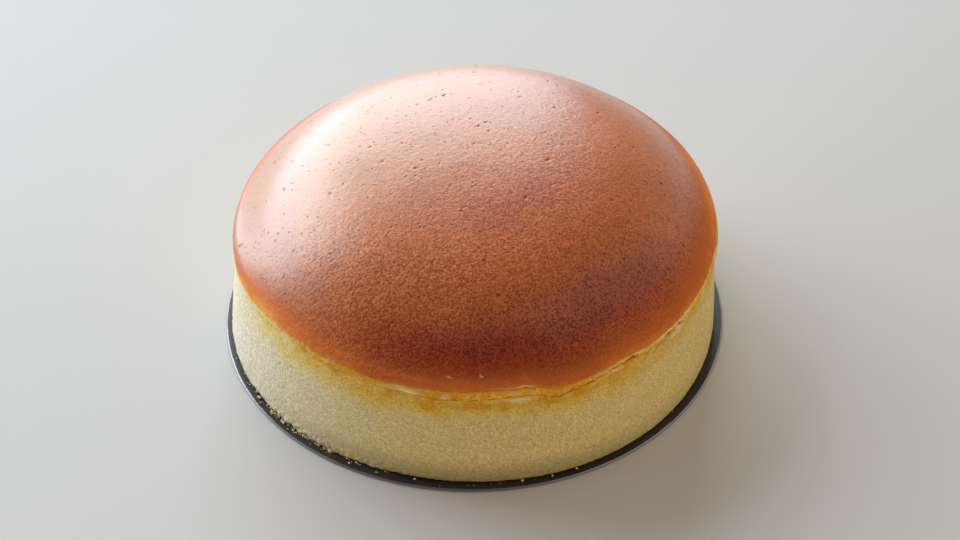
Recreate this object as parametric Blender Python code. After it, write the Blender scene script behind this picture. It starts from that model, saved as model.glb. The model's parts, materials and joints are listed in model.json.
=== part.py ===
"""A round soufflé cheesecake, whole, on the loose steel base of the tin that it was baked in.

Metres, +Z up. The origin is the middle of the base's underside. -Y is the front.
Two pieces: the cake, one solid with its baked skin, and the flat round base under it.
"""

import bmesh
import bpy
import numpy as np

BASE_RADIUS = 0.0990
BASE_THICKNESS = 0.0012
BASE_EDGE = 0.0003
GAP = 0.0003

FOOT_RADIUS = 0.0958
FOOT_ROUND = 0.0012
LIP_RADIUS = 0.0952
LIP_HEIGHT = 0.0489
LIP_LEAN = 0.0175
LIP_BELOW = 0.10
LIP_ABOVE = 0.17
WAIST_DEPTH = 0.0015
WAIST_PLACE = 0.70
TOP_HEIGHT = 0.0826
DOME_ROUND = 6.4
DOME_RISE = 0.56
DOME_CROWN = 0.36

# Unevenness round the cake, each as (waves round it, size in metres, direction in degrees).
FOOT_WAVES = ((1, 0.00040, 131.0), (2, 0.00026, -64.0), (3, 0.00036, 173.0), (4, 0.00021, 77.0))
LIP_WAVES = ((1, 0.0011, 2.0), (2, 0.0004, -98.0), (3, 0.0004, 148.0))
HEIGHT_WAVES = ((2, 0.0010, 104.0), (3, 0.0008, -6.0), (4, 0.0004, -121.0))

SEGMENTS = 96
SIDE_ROWS = 12
LIP_ROWS = 5
DOME_ROWS = 15


def waves(angle, terms):
    """The sum of cosines, one for each (count, size, direction)."""
    total = np.zeros_like(angle)
    for count, size, direction in terms:
        total += size * np.cos(count * angle - np.radians(direction))
    return total


def foot_radius(angle):
    return FOOT_RADIUS + waves(angle, FOOT_WAVES)


def lip_radius(angle):
    return LIP_RADIUS + waves(angle, LIP_WAVES)


def lip_height(angle):
    """Height of the edge of the skin: it leans up to the back and waves a little."""
    return LIP_HEIGHT + LIP_LEAN * LIP_RADIUS * np.sin(angle) + waves(angle, HEIGHT_WAVES)


def side_ring(share, angle):
    """A ring of the side, share 0 at the foot and 1 at the lip.

    The radius runs straight from foot to lip, less a waist that is deepest at WAIST_PLACE
    and is zero at both ends.
    """
    low = BASE_THICKNESS + GAP + FOOT_ROUND
    straight = foot_radius(angle) * (1 - share) + lip_radius(angle) * share
    power = np.log(0.5) / np.log(WAIST_PLACE)
    waist = WAIST_DEPTH * np.sin(np.pi * share**power)
    radius = straight - waist
    height = low + (lip_height(angle) - low) * share
    return np.stack([radius * np.cos(angle), radius * np.sin(angle), height], axis=1)


def dome_ring(share, angle):
    """A ring of the dome, share 0 at the lip and 1 at the top.

    Its section is a superellipse, out^DOME_ROUND + up^DOME_RISE = 1, mixed with a parabola,
    whose share of the height is DOME_CROWN.
    """
    out = np.cos(0.5 * np.pi * share)
    shoulder = (1 - out**DOME_ROUND) ** (1 / DOME_RISE)
    up = (1 - DOME_CROWN) * shoulder + DOME_CROWN * (1 - out**2)
    radius = lip_radius(angle) * out
    height = lip_height(angle) * (1 - up) + TOP_HEIGHT * up
    return np.stack([radius * np.cos(angle), radius * np.sin(angle), height], axis=1)


def lip_ring(share, angle):
    """A ring of the rounded lip, on a curve from the side to the dome that its corner pulls."""
    under = side_ring(1 - LIP_BELOW, angle)
    corner = side_ring(1.0, angle)
    over = dome_ring(LIP_ABOVE, angle)
    return under * (1 - share) ** 2 + corner * 2 * share * (1 - share) + over * share**2


def cake_rings():
    """Rings of points from the underside, up the side, round the lip and over the dome."""
    angle = np.arange(SEGMENTS) * 2 * np.pi / SEGMENTS
    across = np.stack([np.cos(angle), np.sin(angle), np.zeros_like(angle)], axis=1)
    floor = np.array([0.0, 0.0, BASE_THICKNESS + GAP])
    rings = [across * (foot_radius(angle) - FOOT_ROUND)[:, None] + floor]
    turn = np.pi / 4
    inset = FOOT_ROUND * (1 - np.sin(turn))
    rise = np.array([0.0, 0.0, FOOT_ROUND * (1 - np.cos(turn))])
    rings.append(across * (foot_radius(angle) - inset)[:, None] + floor + rise)
    for share in np.linspace(0, 1 - LIP_BELOW, SIDE_ROWS, endpoint=False):
        rings.append(side_ring(share, angle))
    for share in np.linspace(0, 1, LIP_ROWS, endpoint=False):
        rings.append(lip_ring(share, angle))
    for share in np.linspace(LIP_ABOVE, 1, DOME_ROWS, endpoint=False):
        rings.append(dome_ring(share, angle))
    return rings


def material(name, color, roughness, metallic):
    made = bpy.data.materials.new(name)
    made.use_nodes = True
    shader = made.node_tree.nodes["Principled BSDF"]
    shader.inputs["Base Color"].default_value = (*color, 1.0)
    shader.inputs["Roughness"].default_value = roughness
    shader.inputs["Metallic"].default_value = metallic
    made.diffuse_color = (*color, 1.0)
    return made


def piece(name, shell, look):
    """An object from a bmesh, in one material."""
    mesh = bpy.data.meshes.new(name)
    shell.to_mesh(mesh)
    shell.free()
    mesh.materials.append(look)
    made = bpy.data.objects.new(name, mesh)
    bpy.context.scene.collection.objects.link(made)
    return made


def cake(look):
    """A closed solid through the rings, with a flat underside and a fan at the top."""
    shell = bmesh.new()
    loops = [[shell.verts.new(point) for point in ring] for ring in cake_rings()]
    for lower, upper in zip(loops, loops[1:]):
        for i in range(SEGMENTS):
            j = (i + 1) % SEGMENTS
            shell.faces.new((lower[i], lower[j], upper[j], upper[i]))
    tip = shell.verts.new((0.0, 0.0, TOP_HEIGHT))
    for i in range(SEGMENTS):
        shell.faces.new((loops[-1][i], loops[-1][(i + 1) % SEGMENTS], tip))
    for face in shell.faces:
        face.smooth = True
    shell.faces.new(loops[0][::-1])
    return piece("cake", shell, look)


def tin_base(look):
    """A flat round plate whose two edges are broken by a small bevel."""
    shell = bmesh.new()
    bmesh.ops.create_cone(
        shell,
        cap_ends=True,
        segments=2 * SEGMENTS,
        radius1=BASE_RADIUS,
        radius2=BASE_RADIUS,
        depth=BASE_THICKNESS,
    )
    plate = piece("tin_base", shell, look)
    plate.location.z = BASE_THICKNESS / 2
    edge = plate.modifiers.new("edge", "BEVEL")
    edge.width = BASE_EDGE
    edge.segments = 1
    edge.limit_method = "ANGLE"
    return plate


for old in list(bpy.data.objects):
    bpy.data.objects.remove(old, do_unlink=True)

baked = material("baked_cake", (0.42, 0.19, 0.085), 0.6, 0.0)
steel = material("dark_tin", (0.045, 0.045, 0.05), 0.45, 0.6)

tin_base(steel)
cake(baked)
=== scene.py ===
"""A whole souffle cheesecake with its browned skin, on the loose steel base of its tin.

Metres, +Z up, the front towards -Y. The cake follows the CAD's own section: a rounded foot, a side
with a slight waist, a rounded lip and a flat-topped dome. Relief is added along its normals, and
the skin's edge, its folds, pinholes and grain are part of that relief. Places on the section are
given by `along`, the distance up it from the top of the foot's rounding. Directions round the cake
are degrees from +X, so the front is -90.
"""

import json

import bpy
import numpy as np
from mathutils import Matrix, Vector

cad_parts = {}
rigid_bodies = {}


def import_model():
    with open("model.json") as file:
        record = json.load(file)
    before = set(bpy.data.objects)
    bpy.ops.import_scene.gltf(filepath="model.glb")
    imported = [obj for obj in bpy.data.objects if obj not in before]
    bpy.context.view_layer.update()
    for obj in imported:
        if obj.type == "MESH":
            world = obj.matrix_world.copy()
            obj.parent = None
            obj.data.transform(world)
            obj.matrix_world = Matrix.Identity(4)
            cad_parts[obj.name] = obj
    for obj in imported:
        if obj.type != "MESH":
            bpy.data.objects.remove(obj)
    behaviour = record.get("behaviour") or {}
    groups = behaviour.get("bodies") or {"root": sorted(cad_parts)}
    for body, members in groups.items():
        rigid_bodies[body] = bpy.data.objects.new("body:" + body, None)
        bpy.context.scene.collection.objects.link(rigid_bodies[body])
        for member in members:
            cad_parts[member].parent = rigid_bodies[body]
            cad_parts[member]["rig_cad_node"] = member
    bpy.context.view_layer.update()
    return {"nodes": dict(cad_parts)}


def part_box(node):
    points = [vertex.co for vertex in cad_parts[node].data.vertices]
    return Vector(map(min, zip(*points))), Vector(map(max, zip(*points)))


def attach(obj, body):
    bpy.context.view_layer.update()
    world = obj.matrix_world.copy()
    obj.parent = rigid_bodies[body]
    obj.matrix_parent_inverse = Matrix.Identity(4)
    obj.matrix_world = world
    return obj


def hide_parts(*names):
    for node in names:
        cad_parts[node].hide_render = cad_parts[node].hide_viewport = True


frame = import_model()

MM = 0.001
FULL_TURN = 2 * np.pi
# Keeps a length from being zero where something is divided by it.
TINY = 1e-12

cake_low, cake_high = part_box("cake")
tin_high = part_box("tin_base")[1]
UNDERSIDE = cake_low.z
TOP_HEIGHT = cake_high.z
TIN_TOP = tin_high.z
TIN_RADIUS = tin_high.x

# The section's sizes, as in the CAD.
FOOT_RADIUS = 0.0958
FOOT_ROUND = 0.0012
LIP_RADIUS = 0.0952
LIP_HEIGHT = 0.0489
LIP_LEAN = 0.0175
LIP_BELOW = 0.10
LIP_ABOVE = 0.17
WAIST_DEPTH = 0.0015
WAIST_PLACE = 0.70
DOME_ROUND = 6.4
DOME_RISE = 0.56
DOME_CROWN = 0.36
SIDE_LOW = UNDERSIDE + FOOT_ROUND

# Unevenness round the cake, each as (waves round it, size in metres, direction in degrees).
FOOT_WAVES = ((1, 0.00040, 131.0), (2, 0.00026, -64.0), (3, 0.00036, 173.0), (4, 0.00021, 77.0))
LIP_WAVES = ((1, 0.0011, 2.0), (2, 0.0004, -98.0), (3, 0.0004, 148.0))
HEIGHT_WAVES = ((2, 0.0010, 104.0), (3, 0.0008, -6.0), (4, 0.0004, -121.0))

# Columns of points round the cake, and the spare ones that normals need past each end.
ROUND = 1200
SPARE = 2
# The hidden walls of a piece run in to this share of its radius.
WALL_REACH = 0.7


def smooth(low, high, value):
    """0 below low and 1 above high, with 3t^2 - 2t^3 between them."""
    t = np.clip((value - low) / (high - low), 0, 1)
    return t * t * (3 - 2 * t)


def bell(value, middle, width):
    """A bell curve, exp(-((value - middle) / width)^2)."""
    return np.exp(-(((value - middle) / width) ** 2))


def waves(angle, terms):
    """The sum of cosines, one for each (count, size, direction)."""
    return sum(size * np.cos(count * angle - np.radians(turn)) for count, size, turn in terms)


def towards(angle, middle, width):
    """A bell of an angle in degrees round the cake, wrapping past 180."""
    away = (np.degrees(angle) - middle + 180) % 360 - 180
    return np.exp(-((away / width) ** 2))


def points(radius, angle, height):
    """Points from radius, angle round the axis and height."""
    radius, angle, height = np.broadcast_arrays(radius, angle, height)
    return np.stack([radius * np.cos(angle), radius * np.sin(angle), height], axis=-1)


# Noise

# Odd factors that scatter the bits of a whole number, and the word that the bits are kept to.
X_FACTOR, Y_FACTOR, Z_FACTOR, SEED_FACTOR = 374761393, 668265263, 1440662683, 974634777
STIRS = ((13, 1274126177), (15, 668265263))
WORD = 0xFFFFFFFF
# Brings gradient noise to about -1 to 1.
NOISE_GAIN = 1.4


def hashed(lattice, seed):
    """A number from -1 to 1 for each whole-numbered point, mixed from its coordinates' bits."""
    x, y, z = np.moveaxis(lattice, -1, 0)
    mixed = (x * X_FACTOR + y * Y_FACTOR + z * Z_FACTOR + seed * SEED_FACTOR) & WORD
    for shift, factor in STIRS:
        mixed = ((mixed ^ (mixed >> shift)) * factor) & WORD
    return (mixed ^ (mixed >> 16)) / (WORD / 2) - 1


def noise(where, size, seed):
    """Gradient noise, about -1 to 1, on a cubic lattice of that size with the fade 6t^5-15t^4+10t^3."""
    cell = where / size
    base = np.floor(cell).astype(np.int64)
    part = cell - base
    fade = part**3 * (part * (6 * part - 15) + 10)
    total = 0
    for corner in np.ndindex(2, 2, 2):
        weight = np.prod(np.where(corner, fade, 1 - fade), axis=-1)
        slope = np.stack([hashed(base + corner, seed * 3 + axis) for axis in range(3)], axis=-1)
        total = total + weight * ((part - corner) * slope).sum(axis=-1)
    return total * NOISE_GAIN


def layers(where, terms):
    """The sum of noises, one for each (strength, size in metres, seed)."""
    return sum(strength * noise(where, size, seed) for strength, size, seed in terms)


def circle(angle, level):
    """A circle of radius 1 to read noise on, where each level gives a pattern of its own."""
    return points(1.0, angle, level)


# The cake's section


def foot_radius(angle):
    """Radius of the foot."""
    return FOOT_RADIUS + waves(angle, FOOT_WAVES)


def lip_radius(angle):
    """Radius of the lip."""
    return LIP_RADIUS + waves(angle, LIP_WAVES)


def lip_height(angle):
    """Height of the lip: it leans up to the back and waves a little."""
    return LIP_HEIGHT + LIP_LEAN * LIP_RADIUS * np.sin(angle) + waves(angle, HEIGHT_WAVES)


def side_point(share, angle):
    """The side, straight from foot to lip less a waist deepest at WAIST_PLACE."""
    straight = foot_radius(angle) * (1 - share) + lip_radius(angle) * share
    power = np.log(0.5) / np.log(WAIST_PLACE)
    waist = WAIST_DEPTH * np.sin(np.pi * share**power)
    return points(straight - waist, angle, SIDE_LOW + (lip_height(angle) - SIDE_LOW) * share)


def dome_point(share, angle):
    """The dome, out^DOME_ROUND + up^DOME_RISE = 1 with out a cosine of share, mixed with a parabola."""
    out = np.cos(0.5 * np.pi * share)
    shoulder = (1 - np.abs(out) ** DOME_ROUND) ** (1 / DOME_RISE)
    up = (1 - DOME_CROWN) * shoulder + DOME_CROWN * (1 - out**2)
    return points(lip_radius(angle) * out, angle, lip_height(angle) * (1 - up) + TOP_HEIGHT * up)


def plain(share, angle):
    """Side for share 0 to 1 and dome for 1 to 2, with a curve round the lip that its corner pulls."""
    side = side_point(np.clip(share, 0, 1), angle)
    dome = dome_point(np.clip(share - 1, 0, 2), angle)
    t = np.clip((share - 1 + LIP_BELOW) / (LIP_BELOW + LIP_ABOVE), 0, 1)[..., None]
    under = side_point(np.full_like(share, 1 - LIP_BELOW), angle)
    corner = side_point(np.ones_like(share), angle)
    over = dome_point(np.full_like(share, LIP_ABOVE), angle)
    lip = under * (1 - t) ** 2 + corner * 2 * t * (1 - t) + over * t**2
    near_lip = (t > 0) & (t < 1)
    return np.where(near_lip, lip, np.where(share[..., None] < 1, side, dome))


def lengths():
    """Shares from foot to top, and the mean distance along the section to each of them."""
    steps, spokes = 1600, 24
    share = np.linspace(0, 2, steps + 1)[:, None]
    angle = np.linspace(0, FULL_TURN, spokes, endpoint=False)[None]
    path = plain(*np.broadcast_arrays(share, angle))
    step = np.linalg.norm(np.diff(path, axis=0), axis=-1).mean(axis=1)
    return share[:, 0], np.concatenate([[0], np.cumsum(step)])


SHARES, LENGTHS = lengths()
LENGTH = LENGTHS[-1]


def section(along, angle):
    """The plain cake: below 0 a quarter circle under the foot, and above it plain()."""
    share = np.interp(along, LENGTHS, SHARES)
    turn = np.clip(-along / FOOT_ROUND, 0, np.pi / 2)
    radius = foot_radius(angle) - FOOT_ROUND * (1 - np.cos(turn))
    foot = points(radius, angle, SIDE_LOW - FOOT_ROUND * np.sin(turn))
    return np.where(along[..., None] < 0, foot, plain(share, angle))


# The skin's edge and relief

# How far along the section the browned skin ends, before its dips.
SKIN_PLACE = 46.4 * MM
# Where the skin's edge dips below or rises above its usual place: degrees, width, millimetres.
SKIN_DIPS = (
    (-175, 19, -8.8),
    (-134, 20, -2.3),
    (-112, 9, -1.4),
    (-80, 9, 1.7),
    (-71, 4, -0.9),
    (-54, 6, 1.3),
    (150, 20, -2.5),
    (60, 15, -1.6),
)
# The same for how frayed the edge is, how far below it the fold lies, and how far the skin's edge
# and the fold curl out.
FRAYS = ((-138, 22, 0.40), (-38, 22, 0.12))
FOLD_DROPS = ((-97, 9, 1.3), (-71, 3, 1.2), (-56, 12, -2.0), (-34, 8, -0.6))
CURLS = ((-80, 5, 0.30), (-95, 18, 0.12), (100, 30, 0.2))
FOLDS = ((-80, 24, 0.42), (-58, 10, 0.25), (60, 20, 0.25), (140, 30, 0.25))
# The same for the thin pale lip under the skin's edge at the right, and for the gaps under it.
LIPS = ((-38, 19, 0.36), (20, 20, 0.15), (130, 25, 0.25))
GAPS = ((-51.8, 0.9, 0.9), (-46.5, 0.6, 0.4), (-40.5, 1.1, 0.8), (-36.0, 0.7, 0.9), (-31.5, 0.8, 0.8))
# Where the lip and the gaps lie, in millimetres above the skin's edge.
LIP_PLACE = -0.6
GAP_PLACE = -1.6
# Marks: degrees round, millimetres above the skin's edge, their two widths, and strength.
ORANGE_MARKS = (
    (-101, -9.6, 2.6, 3.0, 0.5),
    (-91, -7.8, 4.5, 1.8, 0.45),
    (-83, -8.6, 2.5, 2.0, 0.35),
    (-73, -6.4, 3.0, 2.4, 0.55),
    (-65, -7.0, 2.6, 1.8, 0.45),
    (-56, -7.2, 3.0, 1.6, 0.4),
    (-128, -3.0, 8.0, 1.6, 0.35),
    (100, -7.0, 9.0, 2.5, 0.4),
)
PALE_MARKS = (
    (-105, -3.0, 3.2, 1.5, 0.75),
    (-81, -5.2, 4.0, 1.0, 0.7),
    (-56.8, -2.2, 2.0, 0.7, 0.8),
    (-37, -5.0, 2.4, 1.3, 0.6),
)
FLECKS = (
    (-96.4, 5.3, 0.26, 0.15, 1.0),
    (-95.9, 4.9, 0.24, 0.16, 0.9),
    (-88.9, 5.8, 0.14, 0.36, 1.0),
    (-88.4, 5.2, 0.28, 0.15, 1.0),
)
# Layers of noise, each as (strength, size in metres, seed), in millimetres of relief.
SWELL = ((0.26, 0.050, 1), (0.08, 0.019, 2))
LEATHER = ((0.018, 0.0044, 3), (0.022, 0.0023, 4), (0.032, 0.0013, 5))
CRUMB = ((0.035, 0.0050, 7), (0.045, 0.0026, 8), (0.060, 0.0013, 9))
TORN = ((0.35, 0.0045, 10), (1.0, 0.0017, 11))


def bells(angle, terms):
    """The sum of bells round the cake, one for each (degrees, width, size)."""
    return sum(size * towards(angle, middle, width) for middle, width, size in terms)


def dips(angle, terms):
    """The same sum with its sizes in millimetres, given in metres."""
    return MM * bells(angle, terms)


def skin_edge(angle):
    """How far along the section the browned skin ends, all round."""
    ring = circle(angle, 0.0)
    edge = SKIN_PLACE + dips(angle, SKIN_DIPS)
    edge += MM * layers(ring, ((0.35, 0.10, 11), (0.30, 0.035, 12)))
    frayed = 0.16 + bells(angle, FRAYS)
    return edge + frayed * MM * layers(ring, ((1.0, 0.012, 13), (0.6, 0.005, 16)))


def fold_edge(angle):
    """How far along the section the fold below the skin's edge lies."""
    ring = circle(angle, 0.3)
    usual, least = 3.2 * MM, 0.7 * MM
    drop = usual + dips(angle, FOLD_DROPS)
    drop += MM * layers(ring, ((0.5, 0.10, 21), (0.5, 0.03, 22)))
    return skin_edge(angle) - np.maximum(drop, least)


def curl(angle, terms, seed):
    """How far an edge stands out, in metres: a little all round, more at its bells, and uneven."""
    ring = circle(angle, 0.7)
    uneven = 0.7 + layers(ring, ((0.9, 0.10, seed), (0.6, 0.028, seed + 1)))
    everywhere = 0.07 * MM
    return (everywhere + dips(angle, terms)) * np.maximum(uneven, 0.05)


def scatter_pits(count, widest, smallest, largest, seed):
    """Pinholes on the dome as (x, y, radius), a few large and most small."""
    random = np.random.default_rng(seed)
    radius = widest * np.sqrt(random.random(count))
    angle = FULL_TURN * random.random(count)
    size = smallest + (largest - smallest) * random.random(count) ** 3
    return np.stack([radius * np.cos(angle), radius * np.sin(angle), size], axis=1)


PITS = np.concatenate(
    [
        scatter_pits(260, 0.093, 0.42 * MM, 0.85 * MM, 7),
        scatter_pits(900, 0.094, 0.28 * MM, 0.45 * MM, 8),
    ]
)


def pitted(where):
    """How far into a pinhole each point is: a bell round its middle, 1 deep where 0.6 mm in radius."""
    reach, full_size = 2.4, 0.6 * MM
    depth = np.zeros(where.shape[:-1])
    for x, y, size in PITS:
        near = (np.abs(where[..., 0] - x) < reach * size) & (np.abs(where[..., 1] - y) < reach * size)
        away = np.hypot(where[near][:, 0] - x, where[near][:, 1] - y) / size
        depth[near] = np.maximum(depth[near], bell(away, 0.0, 0.8) * size / full_size)
    return depth


def marks(mm, angle, terms):
    """The sum of soft oval marks, at millimetres above the skin's edge and angles round the cake."""
    total = np.zeros_like(mm)
    for turn, rise, wide, high, strength in terms:
        total += strength * towards(angle, turn, wide) * bell(mm, rise, high)
    return total


def lip_line(angle):
    """How strong the pale lip under the skin's edge is, round the cake."""
    ring = circle(angle, 1.1)
    broken = 0.75 + layers(ring, ((0.7, 0.045, 33), (0.6, 0.016, 35)))
    return dips(angle, LIPS) * np.clip(broken, 0.1, 1.4)


def gaps(angle):
    """How deep the gaps under the lip are, round the cake, in metres."""
    ring = circle(angle, 1.7)
    return dips(angle, GAPS) + 0.04 * lip_line(angle) * (1 + noise(ring, 0.02, 34))


def fold_line(angle):
    """How strong the fold is, round the cake, in metres."""
    return curl(angle, FOLDS, 41)


def curled(away, lift, out, tuck, fade):
    """An edge that stands out by out * lift above a line and goes in by tuck * lift below it.

    Both fade as exponentials of the distance from the line: above it over fade, below over 1 mm.
    """
    return np.where(away >= 0, out * lift * np.exp(-away / fade), -tuck * lift * np.exp(away / MM))


def crumb_relief(where, angle, above, skin):
    """Crumb, rougher at the left front, with faint upright scratches and a streaked band on top."""
    crumb = (0.8 + 0.6 * towards(angle, -132, 34)) * layers(where, CRUMB)
    upright = where * np.array([1.0, 1.0, 0.10])
    crumb += 0.10 * towards(angle, -166, 16) * noise(upright, 0.0032, 14)
    streaks = points(FOOT_RADIUS, angle, where[..., 2] * 9)
    band = smooth(-13 * MM, -3 * MM, above) * (1 - skin)
    return crumb + 0.10 * band * noise(streaks, 0.010, 15)


def relief(where, along, angle):
    """How far the surface stands out of the plain section, in metres.

    Broad swells all over; leathery wrinkles and pinholes on the skin; crumb on the side; a curled
    edge with a tuck under it at the skin's edge and at the fold; a thin lip with gaps under it at
    the right; and a torn foot at the left.
    """
    above = along - skin_edge(angle)
    below = along - fold_edge(angle)
    skin = smooth(-0.3 * MM, 0.8 * MM, above)
    dome = smooth(2 * MM, 14 * MM, above)
    leather = layers(where, LEATHER) - 0.012 * np.abs(noise(where, 0.0075, 6))
    edge = curled(above, curl(angle, CURLS, 31), 1.0, 0.9, 0.9 * MM)
    fold = curled(below, fold_line(angle), 0.9, 1.1, MM)
    lip = lip_line(angle) * bell(above / MM, LIP_PLACE, 0.38)
    lip -= gaps(angle) * bell(above / MM, GAP_PLACE, 0.5)
    ragged = smooth(3.5 * MM, 0.3 * MM, along) * (0.15 + 0.85 * towards(angle, -134, 24))
    shared = layers(where, SWELL) + leather * (0.35 + 0.65 * dome) * skin
    shared += crumb_relief(where, angle, above, skin) * (1 - skin)
    shared -= ragged * (layers(where, TORN) - 0.5)
    shared += 0.25 * marks(above / MM, angle, FLECKS)
    return MM * (shared - 0.18 * pitted(where) * dome) + edge + fold + lip


# What the material reads

VALUES = (
    "above_skin",
    "baked",
    "golden",
    "pale",
    "crease",
    "pit",
    "spotted",
    "polish",
    "tanned",
    "shade",
)
# The most that an amount may be, and the range that millimetres above the skin's edge are kept to.
MOST = 1.4
FARTHEST = (-60, 120)
# How far up the skin fades in: millimetres, and what is added round the cake.
FADE = 6.5
WIDER_FADES = ((-168, 28, 7), (-5, 40, 6), (90, 60, 4))
# Darker and lighter belts of the skin, in the form of the marks.
BAKED_BELTS = (
    (-166, 2, 30, 4.5, -0.14),
    (-88, 14, 34, 9, 0.46),
    (-54, 26, 24, 11, 0.30),
    (-44, 20, 26, 7, 0.17),
)
BAKED_PATCHES = ((0.10, 0.030, 51), (0.07, 0.012, 52))
# Where the side is paler, and where the golden stain under the skin is stronger or weaker.
PALER_SIDES = ((-168, 30, -0.30), (-132, 20, -0.10))
STAIN_CHANGES = ((-178, 18, -0.45), (-30, 22, -0.35), (-118, 28, 0.35), (-160, 16, -0.55))
STAIN_REACH = ((4, 0.016, 53), (2, 0.006, 54))
STAIN_PATCHES = ((0.95, 0.0045, 65), (0.35, 0.002, 66))
# The line right under the skin in front, in the form of the marks.
GOLDEN_EDGE = ((-84, -0.7, 34, 0.8, 0.40),)
# How the outlines of marks wander, up in millimetres and round in radians, and jag at creases.
WANDER_UP = ((1.4, 0.007, 61), (0.8, 0.0025, 62))
WANDER_ROUND = ((0.035, 0.008, 63), (0.012, 0.003, 64))
JAGS = ((0.7, 0.005, 67), (0.45, 0.002, 68))
# Where the gloss starts nearer the skin's edge.
SHINY_SIDES = ((40, 45, 1), (165, 45, 1))


def wandering(where, angle, mm):
    """Millimetres up and angle round, both moved by noise."""
    return mm + layers(where, WANDER_UP), angle + layers(where, WANDER_ROUND)


def baked_value(where, angle, mm):
    """How brown the skin is: fading in from its edge, with belts and soft patches."""
    faded = smooth(-1.0, FADE + bells(angle, WIDER_FADES), mm)
    baked = 0.10 + 0.38 * faded + 0.12 * smooth(50, 75, mm)
    return baked + marks(mm, angle, BAKED_BELTS) + layers(where, BAKED_PATCHES)


def golden_value(where, angle, mm):
    """How golden the side is: a stain that fades down from the skin, with orange marks in it."""
    reach = mm + layers(where, STAIN_REACH)
    stain = 0.34 * smooth(-19, -7, reach) + 0.16 * smooth(-6, -1, reach)
    golden = 0.32 + bells(angle, PALER_SIDES) + (1 + bells(angle, STAIN_CHANGES)) * stain
    orange = marks(*wandering(where, angle, mm), ORANGE_MARKS)
    golden += orange * (1 + 0.8 * noise(where, 0.005, 55))
    golden += marks(mm, angle, GOLDEN_EDGE)
    return golden + np.clip(layers(where, STAIN_PATCHES), -0.28, 0.4) * bell(mm, -3.0, 4.0)


def pale_and_highlight_value(where, angle, mm):
    """How pale it is: pale patches, flecks, the thin lip, the curled edge, and a fringe at the left. The
    lip, the curled edge and the fringe are pale partly in their own colour and partly as a painted
    highlight where they catch the light.
    """
    pale = marks(*wandering(where, angle, mm), PALE_MARKS) * (1 + 0.5 * noise(where, 0.004, 56))
    pale += marks(mm, angle, FLECKS)
    # The lip: partly its own cream, partly a painted highlight along its top.
    pale += 3.0 / MM * lip_line(angle) * bell(mm, LIP_PLACE, 0.30)
    # The curled edge in front: partly its own colour, partly a painted highlight.
    curling = curl(angle, ((-80, 4, 0.6),), 31) * towards(angle, -80, 6)
    pale += 1.2 / MM * curling * bell(mm, 0.1, 0.35)
    # A fringe of painted highlights along the ragged edge at the left.
    ring = circle(angle, 2.3)
    fringe = towards(angle, -141, 20) * smooth(0.1, 0.45, noise(ring, 0.016, 57))
    return pale + 0.4 * fringe * bell(mm, 0.2 + 0.8 * noise(ring, 0.03, 58), 0.5)


def crease_shade_value(where, angle, mm, below):
    """How dark the creases are: painted shade in the gaps under the lip, in the fold, and in the tuck
    under the skin in front.
    """
    jagged = layers(where, JAGS)
    crease = 1.6 / MM * gaps(angle) * bell(mm + jagged, -1.5, 0.45)
    crease += 6.0 / MM * fold_line(angle) * bell(below + jagged, -0.1, 0.26)
    return crease + 0.9 * towards(angle, -86, 26) * bell(mm + 0.6 * jagged, -0.3, 0.24)


def spotted_value(where, angle, mm):
    """How grainy the skin is: least at the back, and less at the far left and at the right."""
    ahead = 0.4 * where[..., 0] - 0.9 * where[..., 1]
    spotted = 0.16 + 0.84 * smooth(-0.06, 0.085, ahead)
    spotted += 0.30 * towards(angle, -116, 22) * smooth(2, 12, mm) * smooth(62, 34, mm)
    spotted -= 0.16 * towards(angle, -165, 24) * smooth(6, 16, mm)
    return spotted - 0.30 * towards(angle, -15, 34) * smooth(70, 40, mm)


def polish_value(angle, mm):
    """How glossy the skin is: full some way up from its edge, and sooner at the shiny sides."""
    shiny = bells(angle, SHINY_SIDES)
    return smooth(6 - 6 * shiny, 26 - 14 * shiny, mm)


def tan_and_sheen_value(where, mm):
    """How far the skin turns a less red tan: more towards the back left, where the sheen falls, and not
    at its edge. It is partly the skin's own colour and partly painted sheen, set for how the sheen looks
    there.
    """
    aside = 0.65 * where[..., 0] - 0.75 * where[..., 1]
    return 0.66 * smooth(0.05, -0.09, aside) * smooth(3, 16, mm)


def painted_foot_shade(along, angle):
    """How dark the foot is: painted shade low on the side in front, standing for the light that the floor
    does not send up there.
    """
    return 0.55 * smooth(12 * MM, 0, along) * towards(angle, -88, 52)


def finish_values(where, along, angle):
    """The VALUES at each point: millimetres above the skin's edge, and amounts from 0 to MOST."""
    mm = (along - skin_edge(angle)) / MM
    below = (along - fold_edge(angle)) / MM
    amounts = (
        baked_value(where, angle, mm),
        golden_value(where, angle, mm),
        pale_and_highlight_value(where, angle, mm),
        crease_shade_value(where, angle, mm, below),
        pitted(where) * smooth(2, 14, mm),
        spotted_value(where, angle, mm),
        polish_value(angle, mm),
        tan_and_sheen_value(where, mm),
        painted_foot_shade(along, angle),
    )
    amounts = (np.clip(amount, 0, MOST) for amount in amounts)
    return dict(zip(VALUES, (np.clip(mm, *FARTHEST), *amounts)))


def normals(grid):
    """Unit normals inside a grid of points, from the chords across each point."""
    across = grid[1:-1, 2:] - grid[1:-1, :-2]
    up = grid[2:, 1:-1] - grid[:-2, 1:-1]
    normal = np.cross(across, up)
    return normal / np.maximum(np.linalg.norm(normal, axis=-1, keepdims=True), TINY)


# A grid without its outermost points, and without its spare ones.
INSIDE = (slice(1, -1), slice(1, -1))
KEPT = (slice(SPARE, -SPARE), slice(SPARE, -SPARE))


def surface(along, angle):
    """Points with their relief, their normals, and their places, for a grid with SPARE more all round."""
    base = section(along, angle)
    high = relief(base[INSIDE], along[INSIDE], angle[INSIDE])
    raised = base[INSIDE] + normals(base) * high[..., None]
    return raised[INSIDE], normals(raised), along[KEPT], angle[KEPT]


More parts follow.
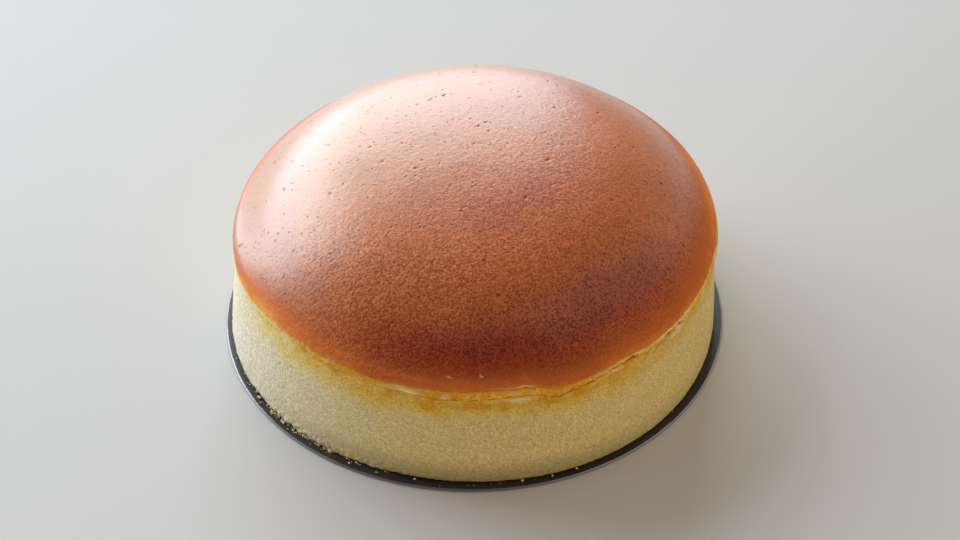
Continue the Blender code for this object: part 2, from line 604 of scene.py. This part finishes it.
def padded_rows(rows):
    """Rows of distances with SPARE more at each end, in the steps that the ends have."""
    first, last = rows[1] - rows[0], rows[-1] - rows[-2]
    steps = np.arange(1, SPARE + 1)
    return np.concatenate([rows[0] - first * steps[::-1], rows, rows[-1] + last * steps])


# Meshes


def grid_faces(rows, columns, closed):
    """Four-cornered faces of a grid of points, row by row; closed joins the last column to the first."""
    row = np.arange(rows - 1)[:, None] * columns
    column = np.arange(columns if closed else columns - 1)[None]
    after = (column + 1) % columns
    faces = np.stack([row + column, row + after, row + columns + after, row + columns + column], axis=-1)
    return faces.reshape(-1, 4)


def piece(name, vertices, faces, look, values, normal=None, replaced=None):
    """A mesh object on the root body, with its values at the points and its own normals."""
    mesh = bpy.data.meshes.new(name)
    mesh.from_pydata(vertices.tolist(), [], [list(face) for face in faces])
    mesh.polygons.foreach_set("use_smooth", np.ones(len(mesh.polygons), bool))
    for label, value in values.items():
        mesh.attributes.new(label, "FLOAT", "POINT").data.foreach_set("value", value.astype(np.float32))
    mesh.materials.append(look)
    mesh.update()
    if normal is not None:
        mesh.normals_split_custom_set_from_vertices(normal.tolist())
    made = bpy.data.objects.new(name, mesh)
    bpy.context.scene.collection.objects.link(made)
    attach(made, "root")
    if replaced:
        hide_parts(replaced)
    return made


def ring_piece(name, rows, look):
    """A belt of the cake between its first and last row, closed by walls inside it.

    Rows are distances along the section, one row of them for each ring, with SPARE more at each
    end. Nothing of it lies below the underside. Two inner rings, at WALL_REACH of the first and
    last one's radius, are joined to each other.
    """
    angle = np.arange(-SPARE, ROUND + SPARE) * FULL_TURN / ROUND
    outer, normal, along, angle = surface(*np.broadcast_arrays(rows, angle[None]))
    outer[..., 2] = np.maximum(outer[..., 2], UNDERSIDE)
    inwards = np.array([WALL_REACH, WALL_REACH, 1.0])
    vertices = np.concatenate([outer[:1] * inwards, outer, outer[-1:] * inwards])
    facing = np.concatenate([normal[:1], normal, normal[-1:]])
    step = np.arange(ROUND)
    after = (step + 1) % ROUND
    top = (len(outer) + 1) * ROUND
    inner = np.stack([top + step, top + after, after, step], axis=-1)
    faces = np.concatenate([grid_faces(len(outer) + 2, ROUND, True), inner])
    values = finish_values(outer, along, angle)
    values = {label: np.concatenate([v[:1], v, v[-1:]]).ravel() for label, v in values.items()}
    return piece(name, vertices.reshape(-1, 3), faces, look, values, facing.reshape(-1, 3), "cake")


def crown_piece(name, start, look):
    """The middle of the dome as a square grid pulled to a disc, so no faces crowd at the top.

    In the square the larger of |u| and |v| is the radius, and their ratio gives the angle. Its rim
    runs in to WALL_REACH of its radius and is closed by one flat face.
    """
    cells = ROUND // 4
    side = (np.arange(-SPARE, cells + 1 + SPARE) * 2 / cells - 1)[None]
    u, v = np.broadcast_arrays(side, side.T)
    wide = np.abs(u) > np.abs(v)
    radius = np.where(wide, u, v)
    ratio = np.where(wide, v, u) / np.where(radius == 0, 1, radius)
    angle = np.where(wide, np.pi / 4 * ratio, np.pi / 2 - np.pi / 4 * ratio)
    angle = np.where(radius < 0, angle + np.pi, angle)
    outer, normal, along, angle = surface(LENGTH - (LENGTH - start) * np.abs(radius), angle)
    count = cells + 1
    order = np.arange(count * count).reshape(count, count)
    loop = np.concatenate([order[0, :-1], order[:-1, -1], order[-1, :0:-1], order[:0:-1, 0]])
    flat = outer.reshape(-1, 3)
    vertices = np.concatenate([flat, flat[loop] * np.array([WALL_REACH, WALL_REACH, 1.0])])
    inner = len(flat) + np.arange(len(loop))
    wall = np.stack([np.roll(loop, -1), loop, inner, np.roll(inner, -1)], axis=-1)
    faces = [*grid_faces(count, count, False), *wall, inner[::-1]]
    values = finish_values(outer, along, angle)
    values = {label: np.concatenate([v.ravel(), v.ravel()[loop]]) for label, v in values.items()}
    facing = normal.reshape(-1, 3)
    facing = np.concatenate([facing, facing[loop]])
    return piece(name, vertices, faces, look, values, facing, "cake")


def lump():
    """The points and faces of a sphere in 6 columns and 4 rows, with a point at each pole."""
    columns, rows = 6, 4
    rise = np.linspace(-0.5 * np.pi, 0.5 * np.pi, rows + 1)[1:-1, None]
    spin = np.arange(columns)[None] * FULL_TURN / columns
    ball = points(np.cos(rise), spin, np.sin(rise)).reshape(-1, 3)
    ball = np.concatenate([[[0, 0, -1]], ball, [[0, 0, 1]]])
    last = len(ball) - 1
    step = np.arange(columns)
    after = (step + 1) % columns
    top = last - columns
    faces = [(0, 1 + b, 1 + a) for a, b in zip(step, after)]
    faces += [(last, top + a, top + b) for a, b in zip(step, after)]
    return ball, faces + (grid_faces(rows - 1, columns, True) + 1).tolist()


def loose_crumbs(look):
    """Crumbs on the tin beside the foot, three in four of them by its ragged left front.

    Each is a lump whose points are pushed in and out at random, cut flat where it meets the tin.
    """
    random = np.random.default_rng(21)
    count, ragged_share = 150, 0.75
    ragged, spread = -134, 15
    smallest, growth = 0.16 * MM, 0.42 * MM
    beside, inside_rim = 0.2 * MM, 0.5 * MM
    left = random.random(count) < ragged_share
    turn = np.where(left, random.normal(ragged, spread, count), random.uniform(-180, 180, count))
    turn = np.radians(turn)
    size = smallest + growth * random.random(count) ** 2.5
    apart = MM * random.exponential(0.55, count)
    radius = np.minimum(foot_radius(turn) + beside + apart, TIN_RADIUS - inside_rim)
    ball, one = lump()
    lumps = ball[None] * (1 + 0.28 * random.standard_normal((count, len(ball), 1)))
    lumps = lumps * size[:, None, None] * np.array([1.2, 1.0, 0.8])
    middle = points(radius, turn, TIN_TOP + 0.55 * size)
    vertices = (lumps + middle[:, None]).reshape(-1, 3)
    vertices[:, 2] = np.maximum(vertices[:, 2], TIN_TOP)
    faces = [[corner + len(ball) * k for corner in face] for k in range(count) for face in one]
    amounts = {"above_skin": -20, "golden": 0.12, "spotted": 0.5}
    values = {label: np.full(len(vertices), amounts.get(label, 0)) for label in VALUES}
    return piece("loose_crumbs", vertices, faces, look, values)


# Looks


class Wire:
    """One number that changes over a surface; signs of arithmetic on it add Math nodes."""

    def __init__(self, paint, socket):
        self.paint = paint
        self.socket = socket

    def do(self, operation, *values):
        return self.paint.node("ShaderNodeMath", {"operation": operation}, values)

    def __add__(self, other):
        return self.do("ADD", self, other)

    __radd__ = __add__

    def __sub__(self, other):
        return self.do("SUBTRACT", self, other)

    def __rsub__(self, other):
        return self.do("SUBTRACT", other, self)

    def __mul__(self, other):
        return self.do("MULTIPLY", self, other)

    __rmul__ = __mul__


class Paint:
    """A material and the nodes that make it."""

    def __init__(self, name):
        self.material = bpy.data.materials.new(name)
        self.material.use_nodes = True
        self.tree = self.material.node_tree
        self.tree.nodes.clear()
        self.place = self.node("ShaderNodeTexCoord", output="Object")

    def node(self, kind, settings=(), inputs=(), output=0):
        """Any node: its settings first, then its sockets by name or in order; gives one output."""
        made = self.tree.nodes.new(kind)
        for name, value in dict(settings).items():
            if name == "stops":
                self.set_stops(made.color_ramp, value)
            else:
                setattr(made, name, value)
        given = inputs.items() if isinstance(inputs, dict) else enumerate(inputs)
        for name, value in given:
            if isinstance(value, Wire):
                self.tree.links.new(value.socket, made.inputs[name])
            else:
                made.inputs[name].default_value = value
        return Wire(self, made.outputs[output]) if made.outputs else made

    @staticmethod
    def set_stops(ramp, stops):
        """Places the stops of a colour ramp, each (position, colour)."""
        while len(ramp.elements) < len(stops):
            ramp.elements.new(1.0)
        for element, (position, color) in zip(ramp.elements, stops):
            element.position = position
            element.color = (*color, 1.0)

    def value(self, name):
        """A value that the mesh holds at its points."""
        return self.node("ShaderNodeAttribute", {"attribute_name": name}, output="Fac")

    def noise(self, size, detail=1.0, roughness=0.5):
        """Noise from 0 to 1 with features of about that size in metres."""
        sockets = {"Vector": self.place, "Scale": 1 / size, "Detail": detail, "Roughness": roughness}
        return self.node("ShaderNodeTexNoise", {}, sockets)

    def dots(self, size, reach):
        """Round dots where scattered points about a size apart lie nearer than a reach, in metres."""
        full = 0.35 * reach
        sockets = {"Vector": self.place, "Scale": 1 / size, "Randomness": 1.0}
        away = self.node("ShaderNodeTexVoronoi", {}, sockets, "Distance")
        return self.band(away, reach / size, full / size)

    def band(self, value, low, high):
        """0 at low and 1 at high, with a smooth step between."""
        return self.node("ShaderNodeMapRange", {"interpolation_type": "SMOOTHSTEP"}, (value, low, high))

    def ramp(self, value, *stops):
        """Colours at positions from 0 to 1."""
        return self.node("ShaderNodeValToRGB", {"stops": stops}, (value,))

    def mix(self, share, first, second, blend="MIX"):
        """Two colours mixed by a share from 0 to 1."""
        first, second = ((*c, 1.0) if isinstance(c, tuple) else c for c in (first, second))
        settings = {"data_type": "RGBA", "blend_type": blend}
        return self.node("ShaderNodeMix", settings, {0: share, 6: first, 7: second}, 2)

    def bump(self, height):
        """A normal from a height in metres."""
        return self.node("ShaderNodeBump", {}, {"Height": height, "Distance": 1.0})

    def finish(self, **sockets):
        """The shader itself, with underscores for the spaces in its sockets' names."""
        named = {name.replace("_", " "): value for name, value in sockets.items()}
        shader = self.node("ShaderNodeBsdfPrincipled", {}, named)
        self.node("ShaderNodeOutputMaterial", {}, (shader,))
        return self.material


# Colours are linear. A ramp is a row of (position, colour), from the palest to the brownest.
WHITE = (1.0, 1.0, 1.0)
SKIN_BROWNS = (
    (0.00, (0.97, 0.520, 0.130)),
    (0.10, (0.90, 0.320, 0.055)),
    (0.25, (0.74, 0.195, 0.034)),
    (0.50, (0.60, 0.160, 0.032)),
    (0.75, (0.45, 0.085, 0.020)),
    (1.00, (0.34, 0.042, 0.010)),
)
CRUMB_CREAMS = (
    (0.00, (0.84, 0.780, 0.640)),
    (0.30, (0.95, 0.790, 0.370)),
    (0.65, (0.98, 0.660, 0.115)),
    (1.00, (0.94, 0.460, 0.030)),
)
# What the grain multiplies a colour by.
SKIN_GRAIN = ((0.0, (0.44, 0.30, 0.24)), (1.0, WHITE))
CRUMB_GRAIN = ((0.0, (0.64, 0.58, 0.47)), (1.0, WHITE))
# A less red tan towards the back left, where the sheen falls: partly the skin's own colour, partly
# painted sheen.
TAN_AND_SHEEN_BROWN = (0.38, 0.205, 0.085)
# The dark of pinholes, pores and holes in the skin: partly their own caramel brown, partly painted shade
# inside them.
HOLE_BROWN_AND_SHADE = (0.13, 0.023, 0.006)
PORE_BROWN = (0.36, 0.22, 0.05)
# Cream of the pale marks; on the lip, the curled edge and the fringe it is partly a painted highlight.
CREAM_AND_HIGHLIGHT = (0.96, 0.83, 0.50)
# The brown of the painted shade in the gaps under the lip, in the fold and in the tuck under the skin.
CREASE_SHADE_BROWN = (0.32, 0.135, 0.015)
# The colour of the painted shade low on the side in front, just above the foot.
PAINTED_FOOT_SHADE = (0.16, 0.15, 0.09)
# Tiny holes in the skin: how far apart they are and their radius, in metres.
HOLES_APART = 0.0042
HOLE_RADIUS = 0.00055


def cake_look():
    """Browned skin that fades to gold at its edge, over a pale yellow crumb.

    Four sizes of noise make the speckle of both, and give the skin its fine leathery bump. The
    skin's gloss is a coat that stops short of its edge and is dulled in its pores and holes.
    """
    paint = Paint("souffle_cheesecake")
    above, baked, golden, pale, crease, pit, spotted, polish, tanned, shade = map(paint.value, VALUES)
    patch = paint.noise(0.013, 3.0) - 0.5
    coarse = paint.noise(0.0028) - 0.5
    grain = paint.noise(0.0011) - 0.5
    fine = paint.noise(0.0006) - 0.5
    mottle = paint.noise(0.0055) - 0.5
    pores = paint.noise(0.0015)

    on_skin = paint.band(above + fine * 1.2, -0.25, 0.25)
    speckle = fine * 2.1 + grain * 1.5 + coarse * 0.35 + mottle * 0.20
    grained = speckle * (spotted * 1.2 + 0.1) * (paint.band(above, 2.0, 14.0) * 0.8 + 0.2)
    pricks = paint.band(pores, 0.33, 0.20) * paint.band(above, 3.0, 12.0)
    holes = paint.dots(HOLES_APART, HOLE_RADIUS) * paint.band(above, 3.0, 10.0)

    skin = paint.ramp(baked + patch * 0.10 + coarse * 0.12, *SKIN_BROWNS)
    skin = paint.mix(1.0, skin, paint.ramp(grained + 0.5, *SKIN_GRAIN), "MULTIPLY")
    # Partly painted sheen: a less red tan towards the back left.
    skin = paint.mix(tanned, skin, TAN_AND_SHEEN_BROWN)
    # Pinholes, pores and holes darkened, partly in their own brown and partly with painted shade.
    skin = paint.mix(pit * 0.8 + pricks * (spotted * 0.6) + holes * 0.75, skin, HOLE_BROWN_AND_SHADE)
    crumb = paint.ramp(golden + patch * 0.10 + coarse * 0.09, *CRUMB_CREAMS)
    crumb = paint.mix(1.0, crumb, paint.ramp(speckle * 0.85 + 0.5, *CRUMB_GRAIN), "MULTIPLY")
    crumb = paint.mix(paint.band(pores, 0.34, 0.22) * 0.5, crumb, PORE_BROWN)
    color = paint.mix(on_skin, crumb, skin)
    # Pale marks, partly painted highlight on the lip, the curled edge and the fringe.
    color = paint.mix(pale * 0.9, color, CREAM_AND_HIGHLIGHT)
    # Painted shade in the creases: the gaps under the lip, the fold and the tuck under the skin.
    color = paint.mix(crease * 0.9, color, CREASE_SHADE_BROWN)
    # Painted shade low on the side in front, just above the foot.
    color = paint.mix(shade, color, PAINTED_FOOT_SHADE)

    leather = (grain * 0.00036 + fine * 0.00014 + coarse * 0.00028) * (spotted * 0.90 + 0.08)
    leather = leather - pricks * spotted * 0.00012 - holes * 0.00016
    pocked = grain * 0.00018 + fine * 0.00012 + coarse * 0.00010
    height = leather * on_skin + pocked * (1 - on_skin)
    smooth_skin = 1 - paint.band(grained, 0.0, -0.35) * spotted * 0.8
    dull = smooth_skin * (1 - pricks * 0.8) * (1 - holes * 0.8)
    gloss = on_skin * polish * (1 - pit * 0.5) * dull
    return paint.finish(
        Base_Color=color,
        Roughness=0.76 - gloss * 0.30 + grain * 0.15,
        Normal=paint.bump(height),
        IOR=1.34,
        Coat_Weight=gloss,
        Coat_Roughness=0.32,
        Coat_IOR=1.6,
    )


COATING = ((0.3, (0.018, 0.019, 0.027)), (0.7, (0.033, 0.034, 0.045)))
BARE_STEEL = (0.42, 0.41, 0.42)
# How far in from the rim the coating starts to wear, and where it is gone.
WEAR_STARTS = 0.0006
WEAR_ENDS = 0.0001


def tin_look():
    """Dark coated steel, dull and slightly blotchy, worn bright along its cut edge."""
    paint = Paint("dark_tin")
    blotch = paint.noise(0.012, 4.0, 0.6)
    fine = paint.noise(0.0008, 2.0)
    flat = paint.node("ShaderNodeVectorMath", {"operation": "MULTIPLY"}, (paint.place, (1.0, 1.0, 0.0)))
    radius = paint.node("ShaderNodeVectorMath", {"operation": "LENGTH"}, (flat,), "Value")
    uneven = (blotch - 0.5) * 0.0006
    worn = paint.band(radius + uneven, TIN_RADIUS - WEAR_STARTS, TIN_RADIUS - WEAR_ENDS)
    return paint.finish(
        Base_Color=paint.mix(worn * 0.85, paint.ramp(blotch, *COATING), BARE_STEEL),
        Roughness=0.32 + blotch * 0.16 + (fine - 0.5) * 0.1,
        Metallic=0.15 + worn * 0.75,
        Normal=paint.bump(fine * 0.00002),
        IOR=1.48,
    )


def floor_look():
    """A plain pale floor."""
    paint = Paint("pale_floor")
    tone = paint.noise(0.6, 2.0)
    color = paint.ramp(tone, (0.3, (0.47, 0.485, 0.51)), (0.7, (0.50, 0.515, 0.54)))
    return paint.finish(Base_Color=color, Roughness=0.6)


# Build

# Where one piece of the cake ends and the next begins, along the section.
SIDE_END = 37 * MM
BELT_END = 60 * MM
SHOULDER_END = 85 * MM
SHOULDER_ROWS = 56


def side_rows():
    """Rows of the foot's rounding and the side up to SIDE_END."""
    foot, side = 5, 74
    rounding = np.linspace(-FOOT_ROUND * np.pi / 2, 0, foot, endpoint=False)
    return np.concatenate([rounding, np.linspace(0, SIDE_END, side)])


def belt_rows():
    """Rows from SIDE_END to BELT_END that follow the fold and the skin's edge round the cake.

    They crowd together where they meet at the fold and at the edge, a slit apart.
    """
    angle = np.arange(-SPARE, ROUND + SPARE) * FULL_TURN / ROUND
    fold, edge = fold_edge(angle)[None], skin_edge(angle)[None]
    slit = 0.12 * MM
    under, between, over = 16, 16, 42
    crowding = 1.35
    low = np.linspace(0, 1, under)[:, None]
    middle = smooth(0, 1, np.linspace(0, 1, between))[:, None]
    high = np.linspace(0, 1, over)[:, None] ** crowding
    rows = np.concatenate(
        [
            SIDE_END + (fold - slit - SIDE_END) * low,
            fold + (edge - slit - fold) * middle,
            edge + (BELT_END - edge) * high,
        ]
    )
    steps = 0.5 * MM * np.arange(1, SPARE + 1)[:, None] * np.ones(len(angle))
    return np.concatenate([SIDE_END - steps[::-1], rows, BELT_END + steps])


baked = cake_look()
steel = tin_look()

ring_piece("cake_side", padded_rows(side_rows())[:, None], baked)
ring_piece("cake_rim", belt_rows(), baked)
shoulder_rows = np.linspace(BELT_END, SHOULDER_END, SHOULDER_ROWS)
ring_piece("cake_shoulder", padded_rows(shoulder_rows)[:, None], baked)
crown_piece("cake_crown", SHOULDER_END, baked)
loose_crumbs(baked)

for node in frame["nodes"].values():
    if node["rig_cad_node"] == "tin_base":
        node.data.materials.clear()
        node.data.materials.append(steel)

# Stage

FLOOR_REACH = 4.0
CORNERS = ((-1, -1), (1, -1), (1, 1), (-1, 1))
floor_mesh = bpy.data.meshes.new("floor")
floor_corners = [(x * FLOOR_REACH, y * FLOOR_REACH, 0.0) for x, y in CORNERS]
floor_mesh.from_pydata(floor_corners, [], [(0, 1, 2, 3)])
floor_mesh.materials.append(floor_look())
floor = bpy.data.objects.new("floor", floor_mesh)
bpy.context.scene.collection.objects.link(floor)

DAYLIGHT = (1.0, 1.13, 1.30)
SHADE = (1.0, 1.13, 1.36)
SKY = (1.0, 1.05, 1.06)
HAZE = (1.0, 0.84, 0.48)
WALL = (1.0, 0.86, 0.66)
ROOM = (1.0, 0.80, 0.58)
# How far off every light is, and the height that it faces, in metres.
AWAY = 2.6
AIM = 0.04
# The window in bands, each as its direction, its reach in degrees, its radiance and its colour.
WINDOW = (
    ("window_low", 135, 11, 60, 22, 4.8, DAYLIGHT),
    ("window_low_side", 92, 11, 26, 22, 3.1, DAYLIGHT),
    ("window_high", 135, 30, 60, 16, 6.5, SKY),
    ("window_high_side", 92, 29, 26, 16, 6.5, SKY),
    ("window_top", 140, 43, 42, 10, 5.0, SKY),
    ("window_top_side", 100, 42, 36, 8, 1.7, HAZE),
)
# The room in the same form, and whether the gloss mirrors it.
ROOM_LIGHTS = (
    ("room_front", -90, 30, 40, 60, 0.95, ROOM, False),
    ("room_right", -15, 30, 60, 60, 0.6, ROOM, True),
    ("room_back", 42, 16, 60, 32, 0.55, WALL, True),
    ("window_left", 168, 14, 44, 30, 1.8, SHADE, False),
    ("room_far", 40, 25, 60, 40, 0.30, ROOM, False),
    ("ceiling", 0, 85, 60, 60, 0.6, ROOM, False),
)


def across(degrees):
    """How wide a flat light is that covers that many degrees from the middle."""
    return 2 * AWAY * np.tan(np.radians(degrees / 2))


def soft_light(name, azimuth, elevation, size, radiance, color):
    """A flat light facing the cake, with the power that gives it that radiance: pi for each area."""
    data = bpy.data.lights.new(name, "AREA")
    data.shape = "RECTANGLE"
    data.size, data.size_y = size
    data.energy = radiance * np.pi * size[0] * size[1]
    data.color = color
    lamp = bpy.data.objects.new(name, data)
    turn, rise = np.radians(azimuth), np.radians(elevation)
    back = points(np.cos(rise), turn, np.sin(rise))
    right = np.array([-np.sin(turn), np.cos(turn), 0.0])
    matrix = np.eye(4)
    matrix[:3, 0], matrix[:3, 1], matrix[:3, 2] = right, np.cross(back, right), back
    matrix[:3, 3] = back * AWAY + np.array([0, 0, AIM])
    lamp.matrix_world = Matrix(matrix.tolist())
    lamp.visible_camera = False
    bpy.context.scene.collection.objects.link(lamp)
    return lamp


for name, azimuth, elevation, wide, high, radiance, color in WINDOW:
    size = across(wide) * np.cos(np.radians(elevation)), across(high)
    soft_light(name, azimuth, elevation, size, radiance, color)
for name, azimuth, elevation, wide, high, radiance, color, mirrored in ROOM_LIGHTS:
    lamp = soft_light(name, azimuth, elevation, (across(wide), across(high)), radiance, color)
    lamp.visible_glossy = mirrored

# A weak light from everywhere fills the shadows.
world = bpy.data.worlds.new("studio")
world.use_nodes = True
background = world.node_tree.nodes["Background"]
background.inputs["Color"].default_value = (1.0, 0.98, 0.95, 1.0)
background.inputs["Strength"].default_value = 0.06
bpy.context.scene.world = world
bpy.context.scene.view_settings.view_transform = "Standard"

# Camera

# The camera's right, up and back as the first three columns, and its place as the last.
CAMERA = (
    (0.99990, 0.01371, -0.00204, 0.00000),
    (-0.01065, 0.66589, -0.74597, -0.88039),
    (-0.00887, 0.74592, 0.66597, 0.80962),
    (0.0, 0.0, 0.0, 1.0),
)
LENS = 111.93
SENSOR_WIDTH = 36.0

camera_data = bpy.data.cameras.new("camera")
camera_data.lens = LENS
camera_data.sensor_width = SENSOR_WIDTH
camera = bpy.data.objects.new("camera", camera_data)
bpy.context.scene.collection.objects.link(camera)
camera.matrix_world = Matrix(CAMERA)
bpy.context.scene.camera = camera
